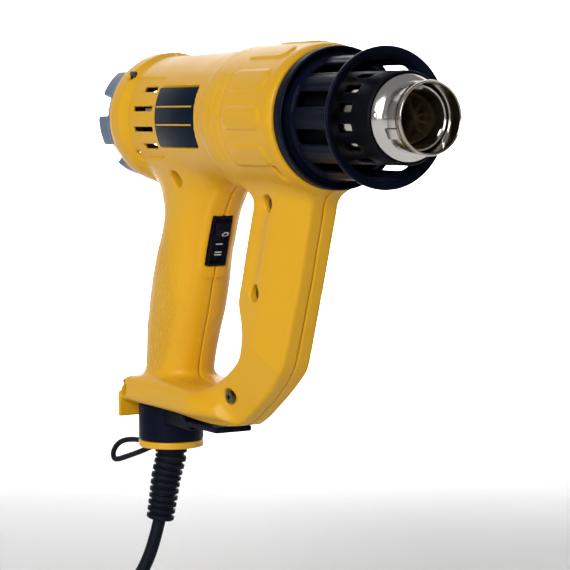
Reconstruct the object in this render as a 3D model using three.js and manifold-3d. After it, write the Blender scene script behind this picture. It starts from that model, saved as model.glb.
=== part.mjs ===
// A hot air gun with a closed D handle, built as an assembly of separate pieces.
// Millimetres, +X towards the nozzle, +Z up, +Y to the tool's left.
// Heights inside the group are measured from the barrel's axis. The group is then
// lifted so that the origin is the middle of the grip, where the hand holds the tool.
import * as THREE from 'three';
import { mergeVertices } from 'three/addons/utils/BufferGeometryUtils.js';
import Module from 'manifold-3d';

const wasm = await Module();
wasm.setup();

// ---------------------------------------------------------------- driving dimensions
const AXIS_HEIGHT = 90; // barrel's axis above the middle of the grip
const GAP = 0.3; // clearance between touching pieces
const WALL = 2.6; // thickness of the housing's walls

const BARREL_REAR = -24; // x of the housing's rear end
const BARREL_FRONT = 142.5; // x of the housing's front end
const REAR_RIM_R = 34.2;
const WAIST_R = 32;
const COLLAR_R = 35.2; // widest ring of the housing, behind the guard
const LUG_COUNT = 7;
const LUG_END = -41; // x of the flat ends that the tool stands on, nozzle up

const BOW_WIDTH = 30; // the front bar of the D handle
const BOW_ROUND = 4;
const BOW_FACE = 7.5; // half width of the bar's front face, between its two slanting sides
const BASE_WIDTH = 44;
const BASE_BOTTOM = -149.8;

const NOZZLE_TIP = 221.5;
const NOZZLE_TIP_R = 16.5;
const NOZZLE_R = 19.2;
const SLEEVE_R = 21;
const SLEEVE_SLOTS = 14;
const GUARD_R = 33.3;
const GUARD_DISC_R = 32.2;
const GUARD_FRONT = 188;
const CAGE_R = 28.4;
const CAGE_SLOTS = 10;

const SWITCH_TILT = 0.3; // radians: the grip's front edge leans forward at its top
const SWITCH_X = 34.2;
const SWITCH_Z = -62;
const SWITCH_TRACK = 24.2; // length of the slot that the switch's slider runs in
const SWITCH_TRAVEL = 11; // from off, through low, to high

const CORD_EXIT_X = -18.5; // axis of the swivel under the base
const SWIVEL_R = 17.2;
const CORD_R = 3.5;
const FLOOR = -290; // the surface that the coiled cord lies on
const COIL_X = 12;
const COIL_Y = -62;
const COIL_TURN_R = 38.5; // middle of the coil's turns
const COIL_HALF_WIDTH = 10.9;
const COIL_HEIGHT = 21.6;

// ---------------------------------------------------------------- materials
const material = (color, roughness, metalness) =>
  new THREE.MeshStandardMaterial({ color, roughness, metalness });
const YELLOW = material(0xe9a820, 0.45, 0);
const BLACK = material(0x11141c, 0.5, 0);
const SLATE = material(0x4d6384, 0.5, 0);
const RUBBER = material(0x0d0f15, 0.75, 0);
const STEEL = material(0xb9b2a8, 0.2, 1);
const DARK_STEEL = material(0x3a332c, 0.35, 1);
const MICA = material(0xc9b58c, 0.8, 0);
const COPPER = material(0xb06a3a, 0.4, 1);
const GREEN = material(0x1d5a38, 0.6, 0);
const WHITE = material(0xd8d8d2, 0.6, 0);

// ---------------------------------------------------------------- solids
function solid(geometry) {
  const bare = geometry.clone();
  for (const name of Object.keys(bare.attributes)) {
    if (name !== 'position') bare.deleteAttribute(name);
  }
  const merged = mergeVertices(bare, 1e-4);
  const mesh = new wasm.Mesh({
    numProp: 3,
    vertProperties: new Float32Array(merged.attributes.position.array),
    triVerts: new Uint32Array(merged.index.array),
  });
  mesh.merge();
  return new wasm.Manifold(mesh);
}

function geometryOf(body) {
  const mesh = body.getMesh();
  const geometry = new THREE.BufferGeometry();
  geometry.setAttribute('position', new THREE.BufferAttribute(new Float32Array(mesh.vertProperties), 3));
  geometry.setIndex(new THREE.BufferAttribute(new Uint32Array(mesh.triVerts), 1));
  geometry.computeVertexNormals();
  return geometry;
}

function box(x0, x1, y0, y1, z0, z1) {
  const geometry = new THREE.BoxGeometry(x1 - x0, y1 - y0, z1 - z0);
  return solid(geometry.translate((x0 + x1) / 2, (y0 + y1) / 2, (z0 + z1) / 2));
}

// Turns a profile of [along, radius] points into a closed solid around the X axis.
function turnedX(profile, segments = 28) {
  const points = profile.map(([along, radius]) => new THREE.Vector2(radius, along));
  const geometry = new THREE.LatheGeometry(points, segments);
  return solid(geometry.rotateZ(-Math.PI / 2));
}

// The same around the Z axis, for the swivel, the coil and the round pieces under the base.
function turnedZ(profile, segments = 28) {
  const points = profile.map(([along, radius]) => new THREE.Vector2(radius, along));
  const geometry = new THREE.LatheGeometry(points, segments);
  return solid(geometry.rotateX(Math.PI / 2));
}

function rodX(x0, x1, radius, segments = 24) {
  return turnedX([[x0, 0], [x0, radius], [x1, radius], [x1, 0]], segments);
}

function ringX(x0, x1, inner, outer, segments = 28) {
  return turnedX([[x0, inner], [x0, outer], [x1, outer], [x1, inner], [x0, inner]], segments);
}

function rodY(x, z, y0, y1, radius, segments = 16) {
  const geometry = new THREE.CylinderGeometry(radius, radius, y1 - y0, segments);
  return solid(geometry.translate(x, (y0 + y1) / 2, z));
}

// A side outline of [x, z] points, made into a solid of this width with rounded edges.
function sideSolid(outline, width, round = 0, steps = 4) {
  const shape = new THREE.Shape(outline.map(([x, z]) => new THREE.Vector2(x, z)));
  const geometry = new THREE.ExtrudeGeometry(shape, {
    depth: width - 2 * round,
    bevelEnabled: round > 0,
    bevelThickness: round,
    bevelSize: round,
    bevelOffset: -round,
    bevelSegments: steps,
    curveSegments: 6,
  });
  geometry.rotateX(Math.PI / 2);
  return solid(geometry.translate(0, width / 2 - round, 0));
}

// A solid through level sections, rounded squares in plan, with a constant inset for a hollow.
function lofted(sections, inset = 0, sides = 24) {
  const rows = sections.length - 1;
  const geometry = new THREE.CylinderGeometry(1, 1, rows, sides, rows);
  const position = geometry.attributes.position;
  const squareness = 0.86;
  for (let i = 0; i < position.count; i += 1) {
    const [height, centre, depth, width] = sections[Math.round(rows / 2 - position.getY(i))];
    const [u, v] = [position.getX(i), position.getZ(i)];
    const bulge = (w) => Math.sign(w) * Math.abs(w) ** squareness;
    position.setXYZ(i, centre + (depth - inset) * bulge(u), -(width - inset) * bulge(v), height);
  }
  return solid(geometry);
}

function tubeAlong(points, radius, sides, steps) {
  const curve = new THREE.CatmullRomCurve3(points.map((p) => new THREE.Vector3(...p)));
  const section = new THREE.Shape();
  for (let i = 0; i < sides; i += 1) {
    const angle = (2 * Math.PI * i) / sides;
    const [u, v] = [radius * Math.cos(angle), radius * Math.sin(angle)];
    if (i === 0) section.moveTo(u, v);
    else section.lineTo(u, v);
  }
  return solid(new THREE.ExtrudeGeometry(section, { steps, extrudePath: curve }));
}

function around(count, offsetDegrees = 90) {
  return Array.from({ length: count }, (_, i) => (offsetDegrees + (360 * i) / count) * (Math.PI / 180));
}

// A block from one radius to another, standing out along the direction of an angle about X.
function radialBlock(angle, x0, x1, inner, outer, width) {
  const geometry = new THREE.BoxGeometry(x1 - x0, width, outer - inner);
  geometry.translate((x0 + x1) / 2, 0, (inner + outer) / 2);
  return solid(geometry.rotateX(angle - Math.PI / 2));
}

// ---------------------------------------------------------------- housing outlines
// Sections across the grip: [height, centre, half depth, half width].
const GRIP_SECTIONS = [
  [-10, 20, 38, 22], [-28, 20.3, 33, 20], [-38, 18.8, 27.8, 18.5], [-48, 16.8, 22.8, 17.4],
  [-58, 13.6, 21.8, 17.3], [-70, 8.4, 22.8, 17.4], [-84, 4.2, 23.3, 18], [-98, 0.2, 23.1, 17.8],
  [-110, -3.8, 22.3, 17.2], [-122, -6.6, 21.1, 16.4], [-132, -8.2, 20.6, 16.2], [-142, -8.6, 21, 16.4],
];
const BOW_OUTLINE = [
  [60, -10], [132, -10], [135.5, -32], [133.9, -45], [129.2, -60], [124.8, -75], [119.6, -90],
  [114.5, -105], [111.9, -112], [108.3, -120], [101.2, -128], [92.5, -135.3], [83.3, -141.8],
  [74, -148], [65, -152], [52, -153.6], [40, -153], [10, -149], [8, -137], [30, -137], [42, -135.4],
  [54, -131.8], [61.6, -128], [69.2, -123.3], [75.6, -118.4], [78.4, -114], [79.8, -108],
  [79.9, -102], [77.7, -93.5], [77.2, -88], [80.8, -76.6], [85.3, -61.5], [90, -47], [91.5, -40],
  [84, -33], [72, -30],
];
// The lines of the bar's front edge and lower corner, and how far back the slanting sides begin.
const BOW_EDGES = [[[133.9, -45], [111.9, -112]], [[101.2, -128], [65, -152]]];
const BOW_REACH = 20;
const BASE_OUTLINE = [
  [-38, BASE_BOTTOM], [-38, -143], [-36, -138.2], [-30, -136], [-10, -135.2], [20, -135.6],
  [44, -138], [58, -142], [62, BASE_BOTTOM],
];
const BASE_PLAN = [[-39, -23], [40, -23], [66, -14], [66, 14], [40, 23], [-39, 23]]; // [x, y]
const BARREL_PROFILE = [
  [BARREL_REAR, 0], [BARREL_REAR, 31.5], [BARREL_REAR + 2, 33.6], [-19, REAR_RIM_R], [-11, REAR_RIM_R],
  [-7, WAIST_R], [30, 32.5], [65, 33.1], [75, 33.4], [80, COLLAR_R], [138, COLLAR_R],
  [141, 34.6], [BARREL_FRONT, 33.6], [BARREL_FRONT, 0],
];

function insetOutline(outline, inset) {
  const n = outline.length;
  return outline.map(([x, z], i) => {
    const [ax, az] = outline[(i + n - 1) % n];
    const [bx, bz] = outline[(i + 1) % n];
    const length = Math.hypot(bx - ax, bz - az);
    return [x + (inset * (bz - az)) / length, z - (inset * (bx - ax)) / length];
  });
}

// Screws: [x, z, half width of the housing there, depth of the counterbore].
const SCREWS = {
  grip_top_screw: [26, -30.5, 19, 9],
  bow_upper_screw: [106.9, -40.5, 15, 6],
  bow_middle_screw: [94.2, -84, 15, 6],
  base_front_screw: [66, -137.5, 16, 6],
  base_rear_screw: [-32.4, -143, 22, 9],
  barrel_rear_screw: [-11.5, 21, 26, 3],
};
const SCREW_HEAD_R = 3.2;
const SCREW_SHANK_R = 1.5;
const SCREW_LENGTH = 16;
const COUNTERBORE_R = 4.2;

// A wedge-shaped prism round the front bar, which narrows the bar towards one of its edges.
function bowWedge([high, low], inset) {
  const slope = (BOW_WIDTH / 2 - BOW_FACE) / BOW_REACH;
  const apex = BOW_FACE / slope - inset / Math.sin(Math.atan(slope));
  const back = -160;
  const half = slope * (apex - back);
  const plan = new THREE.Shape([[apex, 0], [back, half], [back, -half]].map((p) => new THREE.Vector2(...p)));
  const geometry = new THREE.ExtrudeGeometry(plan, { depth: 400, bevelEnabled: false });
  geometry.translate(0, 0, -200).rotateY(Math.atan2(high[0] - low[0], high[1] - low[1]));
  return solid(geometry.translate(low[0], 0, low[1]));
}

function bowSolid(inset) {
  const outline = inset > 0 ? insetOutline(BOW_OUTLINE, inset) : BOW_OUTLINE;
  const bar = sideSolid(outline, BOW_WIDTH - 2 * inset, BOW_ROUND - inset, 2);
  return BOW_EDGES.reduce((rest, edge) => rest.intersect(bowWedge(edge, inset)), bar);
}

function levelPrism(plan, z0, z1) {
  const shape = new THREE.Shape(plan.map(([x, y]) => new THREE.Vector2(x, y)));
  const geometry = new THREE.ExtrudeGeometry(shape, { depth: z1 - z0, bevelEnabled: false });
  return solid(geometry.translate(0, 0, z0));
}

function baseOutside() {
  return sideSolid(BASE_OUTLINE, BASE_WIDTH, 3, 2).intersect(levelPrism(BASE_PLAN, -170, -120));
}

function housingOutside() {
  return turnedX(BARREL_PROFILE, 40)
    .add(lofted(GRIP_SECTIONS))
    .add(bowSolid(0))
    .add(baseOutside())
    .add(box(-38, -36.1, -BASE_WIDTH / 2, BASE_WIDTH / 2, -158.7, -145));
}

function housingInside() {
  const bore = turnedX([
    [BARREL_REAR - 1, 0], [BARREL_REAR - 1, 29.5], [64, 29.8], [78, 31.6],
    [BARREL_FRONT + 1, 31.6], [BARREL_FRONT + 1, 0],
  ], 28);
  const grip = lofted(GRIP_SECTIONS, WALL);
  const base = sideSolid(insetOutline(BASE_OUTLINE, WALL), BASE_WIDTH - 2 * WALL)
    .intersect(levelPrism(insetOutline(BASE_PLAN, -WALL), -170, -120));
  return bore.add(grip).add(bowSolid(WALL)).add(base);
}

function bossAt([x, z, reach]) {
  return rodY(x, z, -reach, reach, COUNTERBORE_R + 1.2, 12);
}

function screwHole([x, z, reach, depth]) {
  return rodY(x, z, -reach - 8, -reach + depth, COUNTERBORE_R, 12)
    .add(rodY(x, z, -reach + depth - 1, -reach + depth + SCREW_LENGTH + 4, SCREW_SHANK_R + GAP, 8));
}

function sideVents() {
  const vents = [[6, 20, 14.2], [-0.5, 20, 4.6], [-0.5, 20, -5.6], [6, 20, -14.2]]
    .map(([x0, x1, z]) => box(x0, x1, -40, 40, z - 1, z + 1));
  return vents.reduce((all, vent) => all.add(vent));
}

// The switch sits in the grip's sloping front edge. These put a block there by its middle.
function atSwitch(geometry) {
  return solid(geometry.rotateY(SWITCH_TILT).translate(SWITCH_X, 0, SWITCH_Z));
}

const switchWindow = () => atSwitch(new THREE.BoxGeometry(24, 11.6, 27.4));

function labelPocket(side) {
  const band = ringX(26.5, 67, 31.4, 40, 40);
  const window = box(20, 75, side > 0 ? 1 : -60, side > 0 ? 60 : -1, -14.6, 15.4);
  return band.intersect(window);
}

function housing() {
  const outside = housingOutside();
  let body = outside.subtract(housingInside());
  const bosses = Object.values(SCREWS).map(bossAt).reduce((all, boss) => all.add(boss));
  body = body.add(bosses.intersect(outside));
  body = Object.values(SCREWS).reduce((rest, screw) => rest.subtract(screwHole(screw)), body);
  const exit = turnedZ([[-160, 0], [-160, 8], [-140, 8], [-140, 0]], 24).translate([CORD_EXIT_X, 0, 0]);
  return body
    .subtract(sideVents())
    .subtract(switchWindow())
    .subtract(labelPocket(1))
    .subtract(labelPocket(-1))
    .subtract(exit);
}

// ---------------------------------------------------------------- air path, from rear to front
function rearCover() {
  let cover = ringX(-29, BARREL_REAR - GAP, 15, 31.2).add(ringX(BARREL_REAR - 1, -19, 26.5, 29.1));
  for (const angle of around(LUG_COUNT)) {
    cover = cover.add(radialBlock(angle, LUG_END, -25, 25.5, 30.8, 15));
  }
  for (const angle of around(LUG_COUNT * 2, 90 + 90 / LUG_COUNT)) {
    cover = cover.subtract(radialBlock(angle, -32, -22, 17, 24.5, 3.4));
  }
  return cover;
}

function temperatureDial() {
  const grips = around(12).map((angle) => radialBlock(angle, -40, -31, 10.6, 14, 2));
  const knob = turnedX([[-38, 0], [-38, 11.6], [-36.5, 12.6], [-29.6, 12.6], [-29.6, 0]], 24);
  const pointer = box(-39.2, -37.5, -0.8, 0.8, 2, 11);
  const stem = rodX(-30, -22, 3);
  return grips.reduce((rest, grip) => rest.subtract(grip), knob).add(pointer).add(stem);
}

const dialControl = () => ringX(-21.5, -15, 3.4, 10, 24)
  .add(ringX(-28, -21.5, 3.4, 6, 24));

function fan() {
  let wheel = turnedX([[-4, 2], [-4, 6], [0, 9], [13, 9], [13, 2], [-4, 2]], 24)
    .add(ringX(12, 13.5, 8, 25));
  for (const angle of around(9)) {
    wheel = wheel.add(radialBlock(angle, 1, 13, 8, 25, 1.4));
  }
  return wheel.add(rodX(-1, 24, 1.5, 12)).add(ringX(-3, 0, 1, 2.4, 12));
}

const motor = () => turnedX([
  [16, 2.2], [16, 13], [18, 14], [49, 14], [51, 12], [52, 5], [56, 5], [56, 2.2], [16, 2.2],
]);

function motorMount() {
  let mount = ringX(35, 39, 14.4, 17).add(ringX(35, 39, 27, 29.3));
  for (const angle of around(5)) mount = mount.add(radialBlock(angle, 35, 39, 16.5, 27.6, 4));
  return mount;
}

function heaterCore() {
  const blades = [0, Math.PI / 3, (2 * Math.PI) / 3].map((angle) =>
    solid(new THREE.BoxGeometry(92, 1, 21).rotateX(angle).translate(122, 0, 0)));
  return blades.reduce((all, blade) => all.add(blade));
}

function heatingCoil() {
  const turns = 9;
  const points = Array.from({ length: turns * 10 + 1 }, (_, i) => {
    const angle = (2 * Math.PI * i) / 10;
    return [80 + (84 * i) / (turns * 10), 11.7 * Math.cos(angle), 11.7 * Math.sin(angle)];
  });
  return tubeAlong(points, 0.7, 4, turns * 11);
}

const heaterTube = () => ringX(70, 172, 13.2, 14.2);

const thermalCutout = () => box(78, 92, -4, 4, 15, 19);

function airDuct() {
  return turnedX([
    [52, 26.5], [52, 29.2], [58, 29.2], [74, 22.4], [134, 22.4], [134, 21.6], [75, 21.6],
    [58, 26.5], [52, 26.5],
  ]);
}

function frontBulkhead() {
  return ringX(134.5, 138, 21.5, 31.2, 32);
}

function heatSleeve() {
  let sleeve = turnedX([
    [138.4, 19.9], [138.4, 24], [140.4, 24], [140.4, SLEEVE_R], [203, SLEEVE_R],
    [203.6, 20.6], [203.6, 19.9], [138.4, 19.9],
  ], 28);
  for (const angle of around(SLEEVE_SLOTS)) {
    sleeve = sleeve.subtract(radialBlock(angle, 178.5, 189.5, 18, 24, 3.6));
  }
  return sleeve;
}

function nozzleTube() {
  return turnedX([
    [96, 18.3], [96, NOZZLE_R], [201.5, NOZZLE_R], [204.6, 18.9], [206.8, 17.4], [208, 15.9],
    [218.8, 15.9], [219.6, NOZZLE_TIP_R], [NOZZLE_TIP, NOZZLE_TIP_R], [NOZZLE_TIP, 15.3],
    [208, 15.2], [204, 17.6], [201, 18.3], [96, 18.3],
  ], 32);
}

function nozzleInsert() {
  let insert = ringX(176, 212, 13.6, 14.4);
  for (const angle of around(3, 90)) {
    insert = insert.add(radialBlock(angle, 209, 211, 14, 15, 4));
  }
  return insert;
}

function nozzleGuard() {
  let guard = turnedX([
    [138.6, 29.6], [138.6, 31.2], [143, 31.2], [143, GUARD_R - 0.8], [144, GUARD_R],
    [149.6, GUARD_R], [150, 32.4], [146.6, 29.4], [149, CAGE_R], [180, CAGE_R],
    [183.6, 29.4], [185.2, GUARD_DISC_R - 0.4], [186, GUARD_DISC_R], [187.4, GUARD_DISC_R],
    [GUARD_FRONT, GUARD_DISC_R - 0.7], [185.8, 28.4], [182, 26.6], [146, 26.4], [143, 29.6], [138.6, 29.6],
  ], 40);
  for (const angle of around(CAGE_SLOTS)) {
    guard = guard.subtract(radialBlock(angle, 153.5, 180, 20, 34, 7));
  }
  return guard;
}

// ---------------------------------------------------------------- labels, switch and electrics
function labelPlate(side) {
  const band = ringX(26.8, 66.7, 31.7, 33.1, 40);
  const window = box(20, 75, side > 0 ? 1 : -60, side > 0 ? 60 : -1, -14.3, 15.1);
  return band.intersect(window);
}

function switchCase() {
  const block = new THREE.BoxGeometry(18, 11, 26.8).translate(-8, 0, 0);
  const track = new THREE.BoxGeometry(6, 8.6, SWITCH_TRACK).translate(1, 0, 0);
  return atSwitch(block).subtract(atSwitch(track));
}

function switchSlider() {
  const length = SWITCH_TRACK - SWITCH_TRAVEL - 2 * GAP;
  const top = SWITCH_TRACK / 2 - GAP;
  const plate = new THREE.BoxGeometry(1.4, 8, length).translate(-1, 0, top - length / 2);
  const ridge = new THREE.BoxGeometry(4.4, 8, 8).translate(1.6, 0, top - 5.6);
  return atSwitch(plate).add(atSwitch(ridge));
}

const circuitBoard = () => box(-12, 10, -1.7, -0.1, -128, -100);

const boardCapacitor = () => box(-9, 3, 0.2, 9, -122, -108);

const boardHeatSink = () => box(-8, 6, -10, -2, -117, -103);

const cordClamp = () => box(-24.4, -9, -8, 8, -144.6, -140.6)
  .subtract(turnedZ([[-150, 0], [-150, 4], [-138, 4], [-138, 0]], 16).translate([CORD_EXIT_X, 0, 0]));

function coreWire(side) {
  return tubeAlong([
    [CORD_EXIT_X, 1.9 * side, -147], [CORD_EXIT_X, 1.9 * side, -136], [-14, 10.8 * side, -126],
    [-8, 11.4 * side, -108], [5, 11.2 * side, -94], [13, 9 * side, -82], [18, 3.4 * side, -76.4],
  ], 1.2, 6, 20);
}

function screw([x, z, reach, depth]) {
  const seat = -reach + depth - GAP;
  const head = rodY(x, z, seat - 2.4, seat, SCREW_HEAD_R, 16);
  const drive = rodY(x, z, seat - 3, seat - 1.2, 1.3, 6);
  return head.subtract(drive).add(rodY(x, z, seat - 0.5, seat + SCREW_LENGTH, SCREW_SHANK_R, 12));
}

// ---------------------------------------------------------------- swivel, cord and plug
const atExit = (body) => body.translate([CORD_EXIT_X, 0, 0]);

function swivelNeck() {
  return atExit(turnedZ([
    [-172.8, 5], [-172.8, 7.6], [-146.9, 7.6], [-146.9, 9.2], [-145.4, 9.2], [-145.4, 5], [-172.8, 5],
  ], 24));
}

function stand() {
  const hub = turnedZ([
    [-169.7, 8], [-169.7, SWIVEL_R], [-150.3, SWIVEL_R], [-150.3, 8], [-169.7, 8],
  ]);
  const arm = box(10, 42, -10.5, 10.5, -160, -152.2);
  const toe = box(40, 67.5, -10.5, 10.5, -158.3, -155.2);
  const hubHole = turnedZ([[-175, 0], [-175, 16], [-145, 16], [-145, 0]]);
  return atExit(hub.add(arm.subtract(hubHole)).add(toe));
}

function retainingDisc() {
  return atExit(turnedZ([
    [-173.5, 8], [-173.5, 16.6], [-172.8, SWIVEL_R], [-170.4, SWIVEL_R], [-170, 16.9], [-170, 8],
    [-173.5, 8],
  ]));
}

const RELIEF_ROUTE = [
  [CORD_EXIT_X, 0, -174.2], [CORD_EXIT_X, -0.4, -180], [-19.9, -2.3, -190], [-21, -3.7, -202], [-22, -5.2, -213.5],
];

function strainRelief() {
  const curve = new THREE.CatmullRomCurve3(RELIEF_ROUTE.map((p) => new THREE.Vector3(...p)));
  const steps = 8;
  const sleeve = new THREE.CylinderGeometry(1, 1, steps, 16, steps);
  const position = sleeve.attributes.position;
  const turn = new THREE.Quaternion();
  for (let i = 0; i < position.count; i += 1) {
    const along = 0.5 - position.getY(i) / steps;
    const radius = THREE.MathUtils.lerp(8.6, 7.4, along);
    turn.setFromUnitVectors(new THREE.Vector3(0, -1, 0), curve.getTangentAt(along));
    const rim = new THREE.Vector3(position.getX(i) * radius, 0, position.getZ(i) * radius);
    const point = rim.applyQuaternion(turn).add(curve.getPointAt(along));
    position.setXYZ(i, point.x, point.y, point.z);
  }
  return solid(sleeve);
}

function hangingLoop() {
  return tubeAlong([
    [-29.5, 0, -177.3], [-39, -1, -176.2], [-52, -3, -174.6], [-66, -5.5, -177], [-73, -7, -183],
    [-70, -7.6, -187.4], [-59, -6, -184.5], [-46, -3.2, -179.9], [-40, 2.6, -176.8], [-30, 3.4, -180.6],
  ], 1.5, 6, 30);
}

const CORD_ROUTE = [
  [-22.1, -5.5, -213.9], [-22.6, -7.2, -221], [-23.9, -10.3, -232], [-26.2, -15, -243], [-29.3, -23, -253],
  [-32, -34, -260.6], [-33.4, -48, -263.9],
];
const TAIL_ROUTE = [
  [57.9, COIL_Y + 28, -286.4], [57.6, -14, -286.4], [55, 3, -286], [46, 16, -284.6], [32, 22.6, -280.6],
  [23.4, 24, -277.3],
];

function cordCoil() {
  const inner = COIL_TURN_R - COIL_HALF_WIDTH;
  const outer = COIL_TURN_R + COIL_HALF_WIDTH;
  const top = FLOOR + COIL_HEIGHT;
  return turnedZ([
    [FLOOR, inner + 2], [FLOOR, outer - 2], [FLOOR + 2, outer], [top - 2, outer], [top, outer - 2],
    [top, inner + 2], [top - 2, inner], [FLOOR + 2, inner], [FLOOR, inner + 2],
  ], 32).translate([COIL_X, COIL_Y, 0]);
}

function coilTie() {
  const angle = -2.2;
  const band = sideSolid([
    [COIL_TURN_R - 12.4, FLOOR + 0.1], [COIL_TURN_R + 12.4, FLOOR + 0.1],
    [COIL_TURN_R + 12.4, FLOOR + 22.9], [COIL_TURN_R - 12.4, FLOOR + 22.9],
  ], 6);
  const hollow = sideSolid([
    [COIL_TURN_R - 11.2, FLOOR - 1], [COIL_TURN_R + 11.2, FLOOR - 1],
    [COIL_TURN_R + 11.2, FLOOR + 21.9], [COIL_TURN_R - 11.2, FLOOR + 21.9],
  ], 8);
  return band.subtract(hollow).rotate([0, 0, (angle * 180) / Math.PI]).translate([COIL_X, COIL_Y, 0]);
}

const PLUG_X = 21; // end of the plug that the cord goes into
const PLUG_Y = 24;
const PLUG_Z = FLOOR + 13;

function plugBody() {
  const body = turnedX([
    [-40, 0], [-40, 13.4], [-38, 14.6], [-22, 15.4], [-14, 13], [-8, 7.5], [0, 5.6], [0, 0],
  ], 28).intersect(box(-50, 5, -20, 20, -13, 13));
  return body.translate([PLUG_X, PLUG_Y, PLUG_Z]);
}

function plugPin(side) {
  return rodX(-59, -40.3, 2.4, 16).translate([PLUG_X, PLUG_Y + 9.5 * side, PLUG_Z]);
}

// ---------------------------------------------------------------- the assembly
const tool = new THREE.Group();
tool.position.z = AXIS_HEIGHT;

function addPiece(name, body, finish) {
  const mesh = new THREE.Mesh(geometryOf(body), finish);
  mesh.name = name;
  tool.add(mesh);
}

const shell = housing();
addPiece('housing_right', shell.intersect(box(-60, 240, -60, -GAP / 2, -200, 60)), YELLOW);
addPiece('housing_left', shell.intersect(box(-60, 240, GAP / 2, 60, -200, 60)), YELLOW);
addPiece('rear_cover', rearCover(), SLATE);
addPiece('temperature_dial', temperatureDial(), BLACK);
addPiece('dial_control', dialControl(), WHITE);
addPiece('fan', fan(), WHITE);
addPiece('motor', motor(), STEEL);
addPiece('motor_mount', motorMount(), BLACK);
addPiece('air_duct', airDuct(), MICA);
addPiece('heater_tube', heaterTube(), MICA);
addPiece('heater_core', heaterCore(), MICA);
addPiece('heating_coil', heatingCoil(), COPPER);
addPiece('thermal_cutout', thermalCutout(), DARK_STEEL);
addPiece('front_bulkhead', frontBulkhead(), BLACK);
addPiece('heat_sleeve', heatSleeve(), BLACK);
addPiece('nozzle_tube', nozzleTube(), STEEL);
addPiece('nozzle_insert', nozzleInsert(), STEEL);
addPiece('nozzle_guard', nozzleGuard(), BLACK);
addPiece('label_plate_right', labelPlate(-1), BLACK);
addPiece('label_plate_left', labelPlate(1), BLACK);
addPiece('switch_case', switchCase(), BLACK);
addPiece('switch_slider', switchSlider(), BLACK);
addPiece('circuit_board', circuitBoard(), GREEN);
addPiece('board_capacitor', boardCapacitor(), WHITE);
addPiece('board_heat_sink', boardHeatSink(), STEEL);
addPiece('cord_clamp', cordClamp(), BLACK);
addPiece('core_wire_left', coreWire(1), COPPER);
addPiece('core_wire_right', coreWire(-1), COPPER);
for (const [name, place] of Object.entries(SCREWS)) addPiece(name, screw(place), DARK_STEEL);
addPiece('swivel_neck', swivelNeck(), BLACK);
addPiece('stand', stand(), BLACK);
addPiece('retaining_disc', retainingDisc(), YELLOW);
addPiece('strain_relief', strainRelief(), RUBBER);
addPiece('hanging_loop', hangingLoop(), RUBBER);
addPiece('power_cord', tubeAlong(CORD_ROUTE, CORD_R, 8, 14), RUBBER);
addPiece('cord_coil', cordCoil(), RUBBER);
addPiece('cord_tail', tubeAlong(TAIL_ROUTE, CORD_R, 8, 12), RUBBER);
addPiece('coil_tie', coilTie(), BLACK);
addPiece('plug_body', plugBody(), RUBBER);
addPiece('plug_pin_left', plugPin(1), STEEL);
addPiece('plug_pin_right', plugPin(-1), STEEL);

export default tool;
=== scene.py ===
import math

import bpy
import numpy as np
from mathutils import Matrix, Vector


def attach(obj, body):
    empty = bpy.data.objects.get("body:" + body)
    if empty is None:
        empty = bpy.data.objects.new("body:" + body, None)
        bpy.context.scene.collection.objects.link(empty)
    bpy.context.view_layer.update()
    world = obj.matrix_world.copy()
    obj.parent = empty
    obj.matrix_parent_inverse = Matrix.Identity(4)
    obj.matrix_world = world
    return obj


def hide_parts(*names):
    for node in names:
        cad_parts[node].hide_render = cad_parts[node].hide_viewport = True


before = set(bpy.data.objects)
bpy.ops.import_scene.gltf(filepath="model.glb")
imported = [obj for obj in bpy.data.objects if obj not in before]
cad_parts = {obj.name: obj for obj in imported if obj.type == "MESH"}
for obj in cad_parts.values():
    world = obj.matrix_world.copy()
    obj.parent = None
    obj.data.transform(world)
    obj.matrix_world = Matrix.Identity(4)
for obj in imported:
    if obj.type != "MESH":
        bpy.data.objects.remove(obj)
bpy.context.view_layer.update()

# Shapes below are in the CAD source's millimetres, with heights measured from the barrel's axis.
AXIS_HEIGHT = 90.0
MM = 0.001


def place(points):
    """Millimetres from the barrel's axis to metres in the row frame."""
    moved = np.asarray(points, float).reshape(-1, 3).copy()
    moved[:, 2] += AXIS_HEIGHT
    return moved * MM


# ---------------------------------------------------------------- camera
CAMERA_FROM_AXIS = math.radians(31)  # off the nozzle's axis, towards the tool's right
CAMERA_PITCH = math.radians(4.44)
camera_data = bpy.data.cameras.new("camera")
camera_data.lens = 135.79
camera_data.sensor_width = 36
camera_data.clip_start = 0.05
camera_data.clip_end = 50
camera = bpy.data.objects.new("camera", camera_data)
bpy.context.scene.collection.objects.link(camera)
camera.location = (0.9849, -0.5323, 0.09)
look = Vector((
    -math.cos(CAMERA_FROM_AXIS) * math.cos(CAMERA_PITCH),
    math.sin(CAMERA_FROM_AXIS) * math.cos(CAMERA_PITCH),
    -math.sin(CAMERA_PITCH),
))
camera.rotation_euler = look.to_track_quat("-Z", "Y").to_euler()
bpy.context.scene.camera = camera
bpy.context.scene.view_settings.view_transform = "Standard"


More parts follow.
